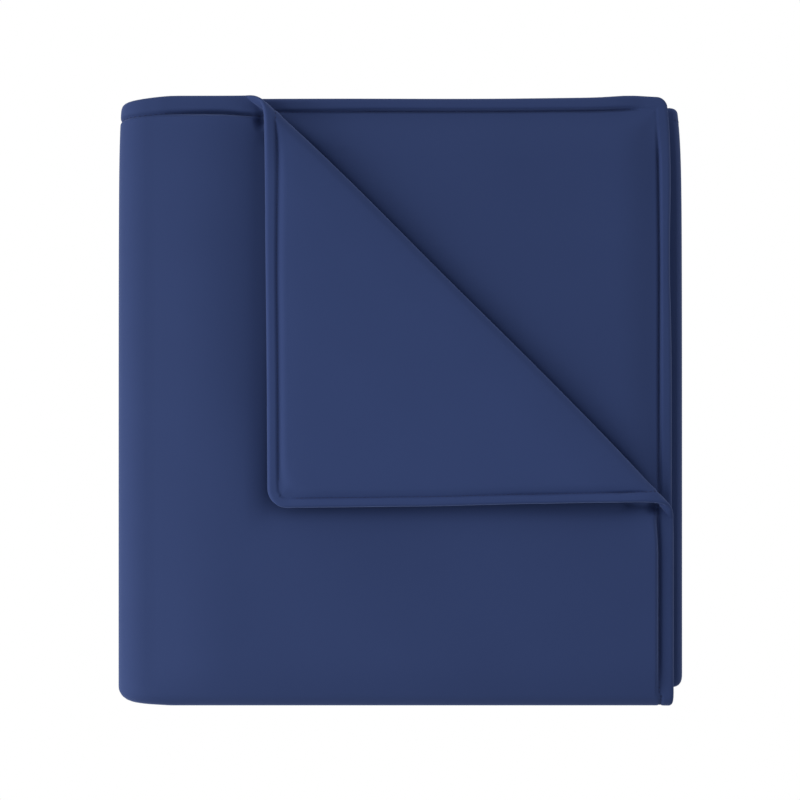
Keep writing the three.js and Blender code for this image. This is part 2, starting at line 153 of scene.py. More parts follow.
# %% Walk along a fold
def walk(fold, distance):
    begins = fold["begins"]
    run = np.clip(np.searchsorted(begins, distance, side="right") - 1, 0, 6)
    t = distance - begins[run]
    top, wide, tight, middle = fold["top"], fold["wide"], fold["tight"], fold["middle"]
    radius = np.array([1, wide, 1, tight, 1, tight, 1])[run]
    sin, cos = np.sin(t / radius), np.cos(t / radius)
    flat, one = np.zeros_like(t), np.ones_like(t)
    places = [top - t, -wide * sin, t, middle + tight * sin, middle - t, -tight * sin, t]
    low_turn = -fold["pitch"] - tight * cos
    levels = [one * wide, wide * cos, -one * wide, low_turn, -one * tight, -tight * cos, one * tight]
    sides = [flat, -sin, flat, sin, flat, sin, flat]
    ups = [one, cos, -one, -cos, one, cos, -one]
    return tuple(np.choose(run, choice) for choice in (places, levels, sides, ups))


half_way = across["top"] + across["wide"] * math.pi / 2
print("half way round the spine:", np.round(walk(across, half_way), 1))

# %% [markdown]
# ## Places on the cloth
#
# A place on the flat cloth is u across, counted from the side hem that shows on the right,
# and v along, counted from the top hem. The corner is turned back on a crease that leaves
# both hems at the same distance, `LEG`. `past_crease` says how far past it a place is. The
# second layer has the far hem beside the near one, so the same function serves there with
# the distance from the far hem. The top layer ends at the spine and the bottom fold.

# %% Crease, layers and side hem
LEG = 398.5
SLANT = math.sqrt(0.5)
SPINE_AT, FOLD_AT = across["top"], along["top"]
ROLL_FROM, ROLL_TO = across["begins"][3:5]
SECOND_FROM = along["begins"][6]
NEAR_HEM = 60.0
CLEAR_OF_CREASE = (8.0, 28.0)


def past_crease(u, v):
    return (LEG - u - v) * SLANT


def on_top(u, v):
    return (u < SPINE_AT) & (v < FOLD_AT)


def side_hem(u, v):
    return ramp(-past_crease(u, v), *CLEAR_OF_CREASE) * (u < NEAR_HEM) * (v < FOLD_AT)


print("the corner's tip lies", round(past_crease(0.0, 0.0), 1), "mm past the crease")

# %% [markdown]
# ## The cloth's own thickness
#
# At its edge the real comforter has a round lip, then a flat hem, a groove where the
# stitches pull both faces together, and the filling behind it. It could be modelled as
# separate pieces, but it is one cloth, so half its thickness is one function of the
# distance from the edge. A second one gives the hem's crown, the way in which it arches up
# between lip and seam.

# %% Thickness and crown
LIP = 3.8
HEM_WIDTH = 12.5
HEM_HALF_THICK = 3.4
HEM_TO_BODY = (4.0, 18.0)
HEM_CROWN = 2.5
CROWN_POWER = 6
SEAM_WIDTH = 1.6
SEAM_HALF_THICK = 0.5
LEAST_HALF_THICK = 0.2


def at_seam(edge):
    return bump(edge, HEM_WIDTH, SEAM_WIDTH)


def half_thickness(edge, depth):
    lip = np.sqrt(1.0 - (1.0 - np.clip(edge / LIP, 0.0, 1.0)) ** 2)
    body = ramp(edge, *HEM_TO_BODY)
    full = (HEM_HALF_THICK + (HALF_THICK - HEM_HALF_THICK) * body) * lip
    groove = at_seam(edge) * depth
    return np.maximum(full + (SEAM_HALF_THICK - full) * groove, LEAST_HALF_THICK)


def crown(edge):
    across_hem = np.clip(edge / HEM_WIDTH, 0.0, 1.0) * 2.0 - 1.0
    return HEM_CROWN * (1.0 - across_hem**CROWN_POWER)


from_edge = np.array([0.0, HEM_WIDTH / 2, HEM_WIDTH, 4 * HEM_WIDTH])
print("half thickness at lip, hem, seam and body:", half_thickness(from_edge, 1.0).round(2))

# %% [markdown]
# Two corners show, and both are soft: where hems meet there is so much cloth that the
# stitches can't pull it in. One is the second layer's, the other the tip of the corner
# that is turned back.

# %% Soft corners
SECOND_CORNER = {"across": (22.0, 46.0), "along": (34.0, 60.0)}
FLAP_CORNER = (22.0, 38.0)


def second_corner(u, v):
    past_u = ramp(u, *SECOND_CORNER["across"])
    past_v = ramp(FLAT_LENGTH - v, *SECOND_CORNER["along"])
    return 1.0 - np.maximum(past_u, past_v)


def flap_corner(u, v):
    return 1.0 - ramp(np.maximum(u, v), *FLAP_CORNER)


print("the tip is soft up to", FLAP_CORNER[1], "mm from its hems")

# %% [markdown]
# ## How deep the seam is
#
# The groove isn't equally deep everywhere: it fills up where the cloth bends or lies on
# its face. A depth painted by hand could show that. A list of places, each with how far it
# eases the seam, says the same in words and follows the folds if a size changes.

# %% Places where the seam is eased
ROLL_FADE = 20.0
IN_BEND = (6.0, 9.0)
ON_FLAP = (20.0, 50.0)
FLAP_DEEPER = {"by": 0.4, "at": (85.0, 40.0)}
TO_UPPER_END = (100.0, 200.0)
NEAR_CREASE = {"upper": (15.0, 70.0), "lower": (-6.0, 2.0)}
BOTTOM_FOLD = {"near": (-45.0, -5.0), "fades": (0.0, -100.0)}


def seam_places(u, v):
    past, below = past_crease(u, v), past_crease(u, FLAT_LENGTH - v)
    roll = ramp(u, ROLL_FROM - ROLL_FADE, ROLL_FROM) * ramp(u, ROLL_TO + ROLL_FADE, ROLL_TO)
    bottom = ramp(v - FOLD_AT, *BOTTOM_FOLD["near"])
    bottom = bottom * ramp(v - along["begins"][3], *BOTTOM_FOLD["fades"])
    deeper = FLAP_DEEPER["by"] * bump(past, *FLAP_DEEPER["at"]) * (u < NEAR_HEM)
    upper = ramp(u, *TO_UPPER_END)
    crease = upper * (1.0 - ramp(below, *NEAR_CREASE["upper"]))
    crease = crease + (1.0 - upper) * (1.0 - ramp(below, *NEAR_CREASE["lower"]))
    return {
        "roll": roll,
        "bend": bump(past, *IN_BEND) * on_top(u, v),
        "second corner": second_corner(u, v),
        "flap corner": flap_corner(u, v),
        "bottom fold": bottom * (u < NEAR_HEM),
        "flap": ramp(past, *ON_FLAP) * (1.0 - deeper) * on_top(u, v),
        "crease": crease * (v > SECOND_FROM),
        "side hem": side_hem(u, v),
    }


print("places that ease the seam:", ", ".join(seam_places(0.0, 0.0)))

# %% Depth of the seam
SEAM_EASE = {
    "roll": 1.0,
    "bend": 1.0,
    "second corner": 0.9,
    "flap corner": 0.8,
    "bottom fold": 0.6,
    "flap": 0.84,
    "crease": 0.7,
    "side hem": 0.42,
}


def seam_depth(u, v):
    depth = np.ones_like(u)
    for name, share in seam_places(u, v).items():
        depth = depth * (1.0 - SEAM_EASE[name] * share)
    return depth


print("seam depth on the flap:", round(float(seam_depth(LEG / 3, HEM_WIDTH)), 2))

# %% [markdown]
# ## Hems of uneven width
#
# A sewn hem is never the same width all along. It is wide where it goes round the spine
# and narrow where it is turned over. Moving the mesh afterwards would stretch the stitches
# away from the groove, so the flat cloth itself is shifted, before it is folded, and
# everything else follows. The shift grows from the edge to the seam and fades behind it.

# %% Width of the hems
WIDER = {"spine": 5.2, "side": 1.8, "second_top": 1.0}
NARROWER = {"flap_side": 1.8, "flap_bottom": 3.2, "second_side": 2.2}
SHIFT_FADES = 45.0
SPINE_HEM = {"from_crease": (-14.0, 4.0), "past_spine": (100.0, 180.0)}
FLAP_HEM = {"side": (10.0, 130.0), "bottom": (4.0, 28.0)}
SECOND_SIDE = (160.0, 60.0)


def hem_share(edge):
    behind = 1.0 - ramp(edge, HEM_WIDTH, HEM_WIDTH + SHIFT_FADES)
    return np.where(edge < HEM_WIDTH, edge / HEM_WIDTH, behind)


def reshape_hem(u, v):
    past, from_far = past_crease(u, v), FLAT_LENGTH - v
    second = (v > SECOND_FROM) & (u < SPINE_AT)
    spine = WIDER["spine"] * ramp(u - LEG, *SPINE_HEM["from_crease"])
    spine = spine * (1.0 - ramp(u - SPINE_AT, *SPINE_HEM["past_spine"]))
    flap_side = NARROWER["flap_side"] * ramp(past, *FLAP_HEM["side"]) * on_top(u, v)
    flap_bottom = NARROWER["flap_bottom"] * ramp(past, *FLAP_HEM["bottom"]) * on_top(u, v)
    second_side = NARROWER["second_side"] * bump(from_far, *SECOND_SIDE) * second
    second_top = 1.0 - ramp(past_crease(u, from_far), *NEAR_CREASE["upper"])
    second_top = WIDER["second_top"] * second_top * ramp(u, *TO_UPPER_END) * second
    move_u = (WIDER["side"] * side_hem(u, v) - flap_bottom - second_side) * hem_share(u)
    move_v = (spine - flap_side) * hem_share(v) - second_top * hem_share(from_far)
    return u + move_u, v + move_v


_, at_spine = reshape_hem(np.array([SPINE_AT]), np.array([HEM_WIDTH]))
print("hem at the spine:", at_spine.round(1), "mm wide, elsewhere", HEM_WIDTH)

# %% [markdown]
# The four corners of the cloth are sewn round. The two on the top hem, one of which is
# turned back, are rounder than the others. Pulling the square grid in is enough, because
# its rows then run round the corner with the hem.

# %% Round corners
CORNER_RADIUS = 9.0
TURNED_CORNER_RADIUS = 19.0


def round_corner(u, v):
    radius = np.where(v < FLAT_LENGTH / 2, TURNED_CORNER_RADIUS, CORNER_RADIUS)
    in_u = radius - np.minimum(u, FLAT_WIDTH - u)
    in_v = radius - np.minimum(v, FLAT_LENGTH - v)
    corner = (in_u > 0) & (in_v > 0)
    far = np.where(corner, np.hypot(in_u, in_v), 1.0)
    shrink = np.where(corner, 1.0 - np.maximum(in_u, in_v) / far, 0.0)
    u = u + in_u * shrink * np.where(u < FLAT_WIDTH / 2, 1.0, -1.0)
    v = v + in_v * shrink * np.where(v < FLAT_LENGTH / 2, 1.0, -1.0)
    return u, v


tip_u, tip_v = round_corner(np.zeros(1), np.zeros(1))
print("the tip is drawn in by", round(float(np.hypot(tip_u, tip_v)[0]), 2), "mm")

# %% [markdown]
# ## Loft of the layers that show
#
# The top layers carry no weight, so their filling stands up behind the seams and swells a
# little unevenly. It sinks again towards the folds. A Displace modifier could raise them,
# but it knows nothing of hems and folds, so the rise is worked out from u and v.

# %% Swell, ripples and sag
RIPPLE = {"share": 0.06, "u": 53.0, "u_from": 0.8, "v": 71.0, "v_from": 1.9}
SLANTED = {"share": 0.05, "u": 31.0, "v": 47.0}
SAG = {"spine": {"past": 12.0, "reach": 70.0}, "fold": {"past": 7.0, "reach": 40.0}}


def behind_seam(u, v, reach):
    return ramp(np.minimum(u, v), HEM_WIDTH, HEM_WIDTH + reach)


def ripple(u, v):
    wave_u = np.sin(u / RIPPLE["u"] + RIPPLE["u_from"])
    wave_v = np.sin(v / RIPPLE["v"] + RIPPLE["v_from"])
    slanted = np.sin(u / SLANTED["u"] + v / SLANTED["v"])
    return 1.0 + RIPPLE["share"] * wave_u * wave_v + SLANTED["share"] * slanted


def sag(to_fold, past, reach):
    t = np.clip((to_fold + past) / reach, 0.0, 1.0)
    return t * (2.0 - t)


def inside_folds(u, v):
    return sag(SPINE_AT - u, **SAG["spine"]) * sag(FOLD_AT - v, **SAG["fold"])


print("loft kept at the spine's edge:", round(float(inside_folds(SPINE_AT, LEG)), 2))

# %% [markdown]
# On the top layer the turned-back corner presses the cloth under it. Beside the corner
# there is a valley, and from its foot the layer rises again, slowly on the spine's side
# and faster below. The valley eases off near both ends of the crease.

# %% The top layer
TOP_PUFF = 2.8
TOP_LOFT = 5.0
TOP_REACH = 5.0
PRESSED = {"by": 3.5, "more": 0.4, "from_ends": (16.0, 44.0)}
FOOT = {"side": -6.0, "side_moves": 4.0, "bottom": -2.5, "bottom_moves": 3.0}
UPPER_PART = (100.0, 350.0)
RIGHT_PART = (60.0, 180.0)
LOFT_REACH = {"side": 7.0, "widens": 0.085, "bottom": 11.0}
COVERED = (-6.0, -26.0)


def top_loft(u, v):
    to_right = 1.0 - ramp(u, *RIGHT_PART)
    foot_u = LEG + FOOT["side"] + FOOT["side_moves"] * (1.0 - ramp(v, *UPPER_PART))
    foot_v = LEG + FOOT["bottom"] + FOOT["bottom_moves"] * to_right
    reach = LOFT_REACH["side"] + LOFT_REACH["widens"] * np.maximum(LEG - v, 0.0)
    clear_u = np.maximum(u - foot_u, 0.0) / reach
    clear_v = np.maximum(v - foot_v, 0.0) / LOFT_REACH["bottom"]
    risen = 1.0 - np.exp(-np.hypot(clear_u, clear_v))
    covered = ramp(np.maximum(u, v) - LEG, *COVERED)
    press = PRESSED["by"] * (1.0 + PRESSED["more"] * to_right)
    press = press * ramp(np.minimum(u, v), *PRESSED["from_ends"])
    rise = TOP_PUFF * covered + (TOP_PUFF + TOP_LOFT) * risen * ripple(u, v)
    rise = rise - press * (1.0 - covered) * (1.0 - risen)
    return rise * behind_seam(u, v, TOP_REACH) * inside_folds(u, v)


print("loft in the valley beside the corner:", round(float(top_loft(LEG, LEG / 2)), 1), "mm")

# %% [markdown]
# The turned-back corner shows the cloth's other face. The second layer shows beside it,
# and rises from under the crease.

# %% The corner and the second layer
CORNER_LOFT = 2.6
CORNER_RISES = 45.0
CORNER_REACH = {"plain": 8.0, "softer": 12.0}
SECOND_LOFT = 5.6
SECOND_REACH = {"plain": 34.0, "softer": 6.0}
SECOND_START = 0.5
SECOND_RISES = 7.0


def corner_loft(u, v, past):
    reach = CORNER_REACH["plain"] + CORNER_REACH["softer"] * flap_corner(u, v)
    return CORNER_LOFT * ramp(past, 0.0, CORNER_RISES) * behind_seam(u, v, reach) * ripple(u, v)


def second_loft(u, v):
    from_far = FLAT_LENGTH - v
    past = np.maximum(past_crease(u, from_far) + SECOND_START, 0.0)
    reach = SECOND_REACH["plain"] + SECOND_REACH["softer"] * second_corner(u, v)
    rise = SECOND_LOFT * (1.0 - np.exp(-past / SECOND_RISES))
    return rise * behind_seam(u, from_far, reach) * ripple(u, from_far)


print("loft of the corner and the second layer:", CORNER_LOFT, SECOND_LOFT, "mm")

# %% [markdown]
# At each end of the crease the thick hem can't fold flat, and a small dark pocket stays
# open under it. It could be a hole, but a comforter has none. It is a dent that takes the
# top layer and the second together. The second layer's dent is wider and lies a little
# aside, so that the two don't cut into each other.

# %% Pockets at the crease's ends
POCKET_DEPTH = 8.5
POCKETS = {
    "upper": {"u": (LEG + 1.5, 4.2), "v": (18.5, 6.5)},
    "lower": {"u": (15.0, 4.8), "v": (LEG + 2.0, 4.5)},
}
POCKET_FROM_CREASE = (2.0, 8.0)
SECOND_POCKET = {"u": 2.2, "v": 1.8, "spread": 1.3}
DENT_BELOW = {"top": 0.52, "second": 0.68}


def pocket(u, v, spread=1.0):
    dent = 0.0
    for spot in POCKETS.values():
        (at_u, wide_u), (at_v, wide_v) = spot["u"], spot["v"]
        dent = dent + bump(u, at_u, wide_u * spread) * bump(v, at_v, wide_v * spread)
    return POCKET_DEPTH * dent


def pocket_below(u, v):
    aside, down = SECOND_POCKET["u"], SECOND_POCKET["v"]
    return pocket(u - aside, FLAT_LENGTH - v - down, SECOND_POCKET["spread"])


print("pockets at the", " and ".join(POCKETS), "end:", POCKET_DEPTH, "mm deep")

# %% [markdown]
# ## The settled stack
#
# Nothing here is quite straight. The bundles have slipped over each other: at the hems one
# way, at the bottom fold the other. Loose bundles could simply be moved, but these are one
# cloth, so the slip changes smoothly along u.

# %% Slip of the bundles
SLIP = {"at_hems": (0.0, -3.0, -1.5), "at_fold": (0.0, 7.3, 3.0)}


def by_run(u, first, middle, last):
    return np.interp(u, across["begins"], [first] * 2 + [middle] * 4 + [last] * 2)


def slip(u, y):
    down = np.clip((FOLD_AT - y) / FOLD_AT, 0.0, 1.0)
    at_hems, at_fold = by_run(u, *SLIP["at_hems"]), by_run(u, *SLIP["at_fold"])
    return at_hems + (at_fold - at_hems) * down


print("slip of the middle bundles at the fold:", slip(ROLL_FROM, 0.0).round(1), "mm")

# %% [markdown]
# Near the open hems the free side leans in, the hem that goes round the spine is drawn
# back and droops, and the open edge waves a little. A lattice could bend the finished
# mesh. A function of x, y and z does it to every point of both faces, and keeps the layers
# apart because neighbours move alike.

# %% Lean, droop and uneven edges
LEAN_REACH = {"short": 27.0, "long": 80.0, "droop": 50.0}
SPINE_LEAN = {"short": 3.0, "long": 1.5}
ROLL_LEAN = {"short": 4.5, "long": 1.5}
HEM_SWELL = {"by": 1.8, "at": (455.0, 22.0)}
HEM_WAVE = {"by": 0.8, "length": 60.0}
DROOP = {"left": 3.0, "left_from": (8.0, -42.0), "spine": 4.0}
OPEN_EDGE = {"out": 0.8, "out_from": (400.0, 430.0), "in": 1.8, "in_at": (160.0, 60.0)}
OPEN_EDGE_HEIGHT = (-5.0, 5.0)


def lean(x, y, z):
    from_hem = np.maximum(FOLD_AT - y, 0.0)
    short, long, low = (np.exp(-from_hem / LEAN_REACH[name]) for name in LEAN_REACH)
    open_side = ramp(x, 0.0, SPINE_AT)
    on_spine = np.clip(x / across["folded_side"], 0.0, 1.0)
    hem_wave = HEM_SWELL["by"] * bump(x, *HEM_SWELL["at"])
    hem_wave = hem_wave + HEM_WAVE["by"] * np.sin(x / HEM_WAVE["length"])
    droop = DROOP["left"] * ramp(x, *DROOP["left_from"]) + DROOP["spine"] * on_spine**4
    droop = 1.0 - open_side + droop
    uneven = OPEN_EDGE["out"] * ramp(from_hem, *OPEN_EDGE["out_from"])
    uneven = uneven - OPEN_EDGE["in"] * bump(from_hem, *OPEN_EDGE["in_at"])
    spine_pull = (SPINE_LEAN["short"] * short + SPINE_LEAN["long"] * long) * on_spine**2
    roll_pull = (ROLL_LEAN["short"] * short + ROLL_LEAN["long"] * long) * open_side
    x = x + spine_pull - roll_pull + uneven * open_side * ramp(z, *OPEN_EDGE_HEIGHT)
    return x, y + hem_wave * open_side * short - droop * low, roll_pull


spine_end = lean(across["folded_side"], FOLD_AT, 0.0)
print("the spine's top end moves to", np.round(spine_end[:2], 1))

# %% [markdown]
# The spine and the lower fold's roll are pressed squarer than a half circle. The roll also
# has a shallow valley where the hems above lie on it, and its bottom corner is squarer
# still. `squared` gives the factor between a circle and a rounded square.

# %% Pressed folds
SPINE_SQUARE = 3.4
ROLL_SQUARE = 2.8
ROLL_CORNER_SQUARE = 3.6
ROLL_VALLEY = {"depth": 0.3, "at": (12.7, 3.8)}
TINY = 1e-6


def squared(sideways, height, power):
    far = np.maximum(np.hypot(sideways, height), TINY)
    section = (np.abs(sideways) / far) ** power + (np.abs(height) / far) ** power
    return np.where(sideways == 0.0, 1.0, section ** (-1.0 / power))


def settle(x, y, z):
    x, y, roll_pull = lean(x, y, z)
    spine = squared(np.minimum(x, 0.0), z, SPINE_SQUARE)
    x, z = x * spine, z * spine
    beyond, above = x - across["middle"] + roll_pull, z + across["pitch"]
    on_roll = (beyond > 0.0) & (z < -GAP / 4)
    roll = squared(np.where(on_roll, beyond, 0.0), above, ROLL_SQUARE)
    valley = ROLL_VALLEY["depth"] * bump(beyond * roll, *ROLL_VALLEY["at"])
    valley = valley * (on_roll & (above > 0.0))
    return x + beyond * (roll - 1.0), y, z + above * (roll * (1.0 - valley) - 1.0)


print("the spine at 45 degrees stands out by", squared(1.0, 1.0, SPINE_SQUARE).round(3))

# %% [markdown]
# ## Turning back the corner
#
# On the top layer, the distance past the crease decides everything. Before the bend the
# cloth lies as it was. In the bend it rolls round a small radius, and past it the corner
# lies upside down on its own layer. A hinge or an armature could turn it, but they crush
# the bend, and a roll keeps the cloth's length. The crease bows in a little towards its
# ends, and the bend is tighter at the hems.

# %% The bend
BEND_RADIUS = HALF_THICK + TOP_PUFF + GAP / 2
HEM_BEND = {"tighter": 1.0, "from": (0.9, 1.0)}
BOW = {"middle": 0.2, "ends": 4.3, "fades": 40.0, "from_hem": 24.0}


def bend(u, v):
    past = past_crease(u, v)
    to_end = np.minimum(np.abs(v - u) / LEG, 1.0)
    radius = BEND_RADIUS - HEM_BEND["tighter"] * ramp(to_end, *HEM_BEND["from"])
    half_bend = math.pi * radius / 2
    angle = np.clip((past + half_bend) / radius, 0.0, math.pi)
    rolled = np.where(past < -half_bend, past, radius * np.sin(angle) - half_bend)
    rolled = np.where(past > half_bend, -past, rolled)
    bow = (BOW["middle"] + BOW["ends"] * to_end**4) * ramp(np.minimum(u, v), 0.0, BOW["from_hem"])
    bow = bow * (1.0 - ramp(np.abs(past) - half_bend, 0.0, BOW["fades"]))
    over = (rolled - past - bow) * SLANT
    return past, radius, angle, over


print("radius of the bend:", BEND_RADIUS, "mm")

# %% [markdown]
# The corner doesn't lie exactly where the roll would put it. It has slid a few millimetres
# along the layer under it, its bottom hem is drawn up a little towards the right, and at
# both ends of the crease the hem draws back along itself.

# %% Slide, tuck and pull
SLIDE = {"x": 4.4, "y": -6.0, "whole": 0.7}
TURNED = 25.0
TUCK = {1.3: (150.0, 260.0), 0.5: (260.0, 320.0)}
HEM_PULL = {"x": 10.0, "y": 8.0, "at": -3.0, "past": 8.0, "before": 13.0, "from_hem": 18.0}


def corner_moves(u, v, past):
    slid = np.maximum(past, 0.0) / LEG
    turned = ramp(past, 0.0, TURNED)
    tuck = sum(by * ramp(v, *span) for by, span in TUCK.items())
    width = np.where(past > HEM_PULL["at"], HEM_PULL["past"], HEM_PULL["before"])
    at_crease = bump(past, HEM_PULL["at"], width)
    pull_x = HEM_PULL["x"] * at_crease * (1.0 - ramp(v, 0.0, HEM_PULL["from_hem"]))
    pull_y = HEM_PULL["y"] * at_crease * (1.0 - ramp(u, 0.0, HEM_PULL["from_hem"]))
    move_x = SLIDE["x"] * slid + SLIDE["whole"] * turned - pull_x
    move_y = SLIDE["y"] * slid + tuck * turned - pull_y
    return move_x, move_y


tip_move = corner_moves(0.0, 0.0, past_crease(0.0, 0.0))
print("the tip slides by", [round(float(way), 1) for way in tip_move], "mm")

# %% [markdown]
# The corner's height isn't even either. The thick hem props it up like a wedge at the
# crease's upper end, its bottom hem lies higher than its middle, and both hems stand up
# near the crease and droop away from it.

# %% Lift
HEM_DROOP = {"by": 0.8, "reach": 22.0, "past": 30.0}
HEM_RAISE = {"by": 2.4, "at": (24.0, 26.0), "from_hem": 15.0}
WEDGE = {"by": 4.0, "along": 170.0, "from": 10.0, "length": 270.0}
PERCH = {"by": 4.0, "across": 140.0, "past": 50.0}


def corner_lift(u, v, past, radius, angle):
    droop = HEM_DROOP["by"] * (1.0 - behind_seam(u, v, HEM_DROOP["reach"]))
    droop = droop * ramp(past, 0.0, HEM_DROOP["past"])
    from_hem = np.minimum(u, v)
    raised = HEM_RAISE["by"] * bump(past, *HEM_RAISE["at"])
    raised = raised * (1.0 - ramp(from_hem, 0.0, HEM_RAISE["from_hem"]))
    thins = np.clip(1.0 - (past - WEDGE["from"]) / WEDGE["length"], 0.0, 1.0)
    wedge = WEDGE["by"] * (1.0 - ramp(v, 0.0, WEDGE["along"])) * thins
    perch = PERCH["by"] * (1.0 - ramp(u, 0.0, PERCH["across"])) * ramp(past, 0.0, PERCH["past"])
    return (radius + wedge / 2) * (1.0 - np.cos(angle)) - droop + raised + perch


print("perch and wedge:", PERCH["by"], WEDGE["by"], "mm")

# %% [markdown]
# ## From the flat cloth to the stack
#
# Three functions put this together. The first walks along both folds and gives the middle
# of the cloth and its normal. The second adds the turned-back corner, and the third how
# far each face stands off the middle. Doing both faces at once keeps them paired for the
# lip.


# %% The middle of the cloth
def stack_layers(u, v):
    place_x, level_x, side_x, up_x = walk(across, u)
    place_y, level_y, side_y, up_y = walk(along, v)
    corner = squared(np.minimum(place_y, 0.0), level_y, ROLL_CORNER_SQUARE)
    stretch = 1.0 + (corner - 1.0) * side_x * ((u > ROLL_FROM) & (u < ROLL_TO))
    place_y, level_y = place_y * stretch, level_y * stretch
    middle = np.stack([place_x + side_x * level_y, place_y, level_x + up_x * level_y])
    normal = np.stack([side_x * up_y, side_y, up_x * up_y])
    return middle, normal


def turn_corner(u, v, middle, normal):
    top = (u <= SPINE_AT) & (v <= FOLD_AT)
    past, radius, angle, over = bend(u, v)
    move_x, move_y = corner_moves(u, v, past)
    move = np.stack([over + move_x, over + move_y, corner_lift(u, v, past, radius, angle)])
    tilt = -np.sin(angle) * SLANT
    x, y, z = middle + np.where(top, move, 0.0)
    y = y + slip(u, y)
    normal = np.where(top, np.stack([tilt, tilt, np.cos(angle)]), normal)
    return np.stack([x, y, z]), normal, past, top


tip, _ = stack_layers(np.zeros(1), np.zeros(1))
print("the corner's tip before it is turned:", tip.ravel().round(1))

# %% [markdown]
# Each face has its own rise. On the outer face that is the top layer's loft and hem crown,
# less the pocket. On the inner face it is that of the turned-back corner and of the second
# layer, whose inner faces look up. The seam sinks where the hem lies open.

# %% The faces of the cloth
SEAM_SINK = 1.3
TOP_HEM = {"to_fold": (0.0, -30.0), "round_spine": (40.0, -40.0)}
SECOND_HEM = (-3.0, 11.0)
CORNER_CROWN = {"share": 0.75, "rises": 24.0, "softer": 0.45}
LEAST_CLOTH = 0.6


def open_hems(u, v, past):
    top_hem = ramp(-past, *CLEAR_OF_CREASE) * ramp(v - FOLD_AT, *TOP_HEM["to_fold"])
    top_hem = top_hem * ramp(u - SPINE_AT, *TOP_HEM["round_spine"])
    return top_hem, ramp(past_crease(u, FLAT_LENGTH - v), *SECOND_HEM)


def lay(u, v):
    edge = np.minimum.reduce([u, v, FLAT_WIDTH - u, FLAT_LENGTH - v])
    depth = seam_depth(u, v)
    half = half_thickness(edge, depth)
    hem = crown(edge) * (1.0 - second_corner(u, v))
    hem = hem * (1.0 - CORNER_CROWN["softer"] * flap_corner(u, v))
    sewn_u, sewn_v = round_corner(*reshape_hem(u, v))
    middle, normal, past, top = turn_corner(sewn_u, sewn_v, *stack_layers(sewn_u, sewn_v))
    second = (sewn_u <= SPINE_AT) & (sewn_v >= SECOND_FROM)
    top_hem, second_hem = open_hems(sewn_u, sewn_v, past)
    sink = SEAM_SINK * at_seam(edge) * depth
    sink = sink * np.where(top, top_hem, np.where(second, second_hem, 0.0))
    sags = sewn_u <= SPINE_AT + SAG["spine"]["past"]
    sags = sags & (sewn_v <= FOLD_AT + SAG["fold"]["past"])
    loft = np.where(sags, top_loft(u, v) + hem * top_hem, 0.0)
    corner_hem = CORNER_CROWN["share"] * hem * ramp(past, 0.0, CORNER_CROWN["rises"])
    second_rise = np.where(second, second_loft(u, v) + hem * second_hem, 0.0)
    inner_rise = np.where(top, corner_loft(u, v, past) + corner_hem, second_rise)
    dent = np.where(top, pocket(u, v) * ramp(-past, *POCKET_FROM_CREASE), 0.0)
    dent_below = DENT_BELOW["top"] * dent
    dent_below_second = DENT_BELOW["second"] * np.where(second, pocket_below(u, v), 0.0)
    spare = np.maximum(2 * half + loft - LEAST_CLOTH, 0.0)
    outer_rise = -np.minimum(dent, dent_below + spare)
    inner_rise = inner_rise - dent_below - dent_below_second
    faces = []
    for offset, rise in ((half + loft, outer_rise), (-half, inner_rise)):
        x, y, z = middle + offset * normal
        faces.append(np.stack(settle(x, y, z + rise - sink), axis=-1))
    return faces


crease_end, _ = lay(np.array([LEG]), np.array([0.0]))
print("upper end of the crease in the stack:", crease_end.ravel().round(1))

# %% [markdown]
# ## Into the frame
#
# The CAD part's origin is the middle of the stack's footprint, on the surface that it lies
# on. The cloth could be centred on its own measured box, but a lifted edge would then move
# all of it, so it is centred by the nominal sizes of the folds.

# %% Place the stack
STACK = np.array(
    [
        -(across["folded_side"] + SPINE_AT + OVERHANG["across"]) / 2,
        -(along["folded_side"] + FOLD_AT) / 2,
        2 * BUNDLE - GAP / 2,
    ]
)


def to_frame(points):
    placed = (points + STACK) * MM
    placed[:, 2] = np.maximum(placed[:, 2], 0.0)
    return placed


print("the stack moves by", STACK.round(2), "mm")

# %% [markdown]
# ## Cutting out the flat cloth
#
# The grid is fine along the hems and round the turns, less fine on the layers that show,
# and coarse where layers are hidden. An even grid with a Subdivision modifier would need
# many times the points for the same hem.

# %% Grid lines
HEM_LINES = [0, 0.2, 0.6, 1.3, 2.2, 3.4, 5, 6.6, 8, 9, 9.8, 10.5, 11.2, 11.8, 12.5, 13.2]
HEM_LINES += [13.8, 14.5, 15.2, 16, 17, 18.5, 20.5, 23, 27, 32]
SHOWN, SECOND_SHOWN, HIDDEN = 10.5, 14.0, 45.0
TURN_STEPS = {"across": (32, 18, 14), "along": (16, 10, 10)}


def grid_lines(fold, steps, turn_steps):
    lines = []
    begins = fold["begins"]
    for k in range(7):
        low, high = begins[k], begins[k + 1]
        if k % 2:
            lines.append(np.linspace(low, high, turn_steps[k // 2] + 1))
            continue
        low = HEM_LINES[-1] if k == 0 else low
        high = high - HEM_LINES[-1] if k == 6 else high
        lines.append(np.linspace(low, high, max(2, round((high - low) / steps[k // 2]) + 1)))
    hem = np.array(HEM_LINES, float)
    lines += [hem, fold["length"] - hem]
    return np.unique(np.concatenate(lines).round(4))


us = grid_lines(across, (SHOWN, HIDDEN, HIDDEN, HIDDEN), TURN_STEPS["across"])
vs = grid_lines(along, (SHOWN, HIDDEN, HIDDEN, SECOND_SHOWN), TURN_STEPS["along"])
print("grid lines:", len(us), "across,", len(vs), "along")

